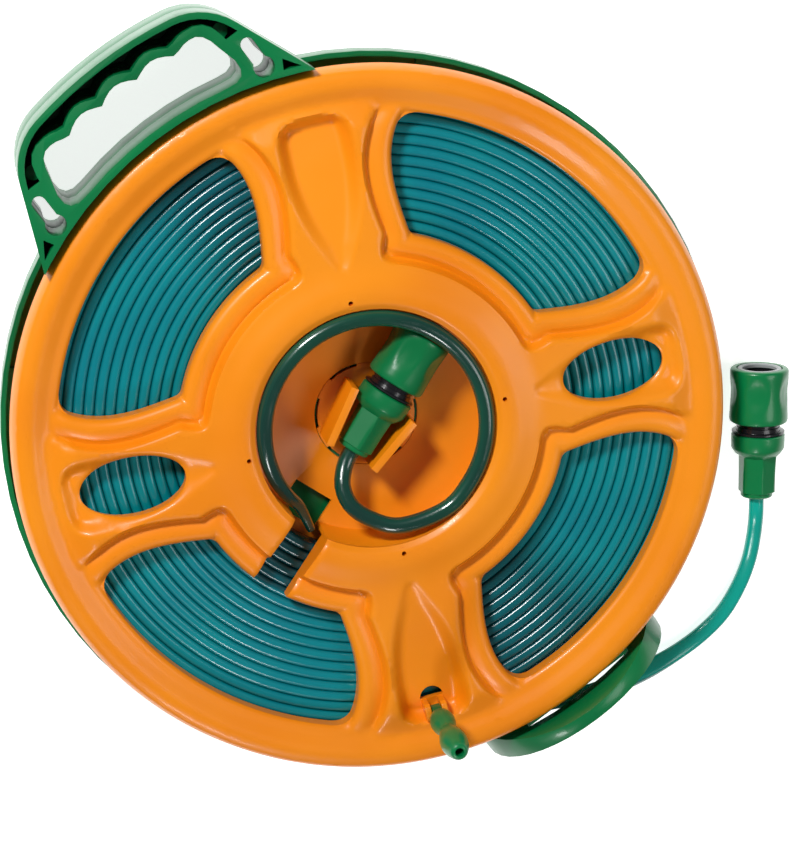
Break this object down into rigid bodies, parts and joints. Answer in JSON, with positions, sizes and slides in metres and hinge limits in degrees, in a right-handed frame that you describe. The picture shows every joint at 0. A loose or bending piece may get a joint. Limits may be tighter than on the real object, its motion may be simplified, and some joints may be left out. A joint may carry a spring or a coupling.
{
  "type": "flat hose reel cassette",
  "caption": "Flat garden hose wound on edge on an orange spool that turns by a folding crank on a green frame with a carrying handle, a foot and snap couplings.",
  "frame": {"origin": "where the spool's axis meets the back face of the frame's plate, the face the cassette lies on", "axes": "+Z along the spool's axis, out of the front disc; +Y from the foot to the carrying handle; +X to the right, seen from the front"},
  "size_m": [0.4017, 0.4774, 0.116],
  "materials": {
    "green_plastic": "satin injection moulding",
    "orange_plastic": "satin injection moulding",
    "teal_hose": "glossy ribbed vinyl hose",
    "black_plastic": "gloss",
    "grey_plastic": "matte",
    "steel": "plated",
    "seal_rubber": "matte"
  },
  "bodies": {
    "frame": {"rear_frame": "green_plastic", "handle_front": "green_plastic", "foot": "green_plastic", "handle_screw_left": "steel", "handle_screw_right": "steel", "foot_screw_left": "steel", "foot_screw_right": "steel", "hose_tail": "teal_hose", "tail_nut": "green_plastic", "tail_core": "black_plastic", "tail_socket_ring": "grey_plastic", "tail_spring": "steel", "tail_seal": "seal_rubber"},
    "tail_collar": {"tail_collar": "green_plastic"},
    "reel": {"drum": "orange_plastic", "front_disc": "orange_plastic", "hub_clip": "orange_plastic", "hose_winding": "teal_hose", "hose_lead": "teal_hose", "disc_screw_1": "steel", "disc_screw_2": "steel", "disc_screw_3": "steel", "disc_screw_4": "steel", "lead_nut": "green_plastic", "lead_core": "black_plastic", "lead_socket_ring": "grey_plastic", "lead_spring": "steel", "lead_seal": "seal_rubber"},
    "lead_collar": {"lead_collar": "green_plastic"},
    "crank": {"crank_strut": "green_plastic"},
    "grip": {"crank_grip": "green_plastic"}
  },
  "joints": [
    {"name": "reel_spin", "type": "hinge", "parent": "frame", "child": "reel", "pos_m": [0, 0, 0.0125], "axis": [0, 0, 1], "continuous": true},
    {"name": "crank_fold", "type": "hinge", "parent": "reel", "child": "crank", "pos_m": [-0.06842, -0.15014, 0.0465], "axis": [-0.91, 0.4147, 0], "range_deg": [0, 80]},
    {"name": "grip_spin", "type": "hinge", "parent": "crank", "child": "grip", "pos_m": [-0.06842, -0.15014, 0.085], "axis": [0, 0, 1], "continuous": true},
    {"name": "lead_collar_slide", "type": "slide", "parent": "reel", "child": "lead_collar", "axis": [-0.9304, -0.3665, 0], "range_m": [0, 0.004], "stiffness_N_per_m": 1500, "springref_m": -0.002},
    {"name": "tail_collar_slide", "type": "slide", "parent": "frame", "child": "tail_collar", "axis": [-0.5864, -0.81, 0], "range_m": [0, 0.004], "stiffness_N_per_m": 1500, "springref_m": -0.002}
  ]
}
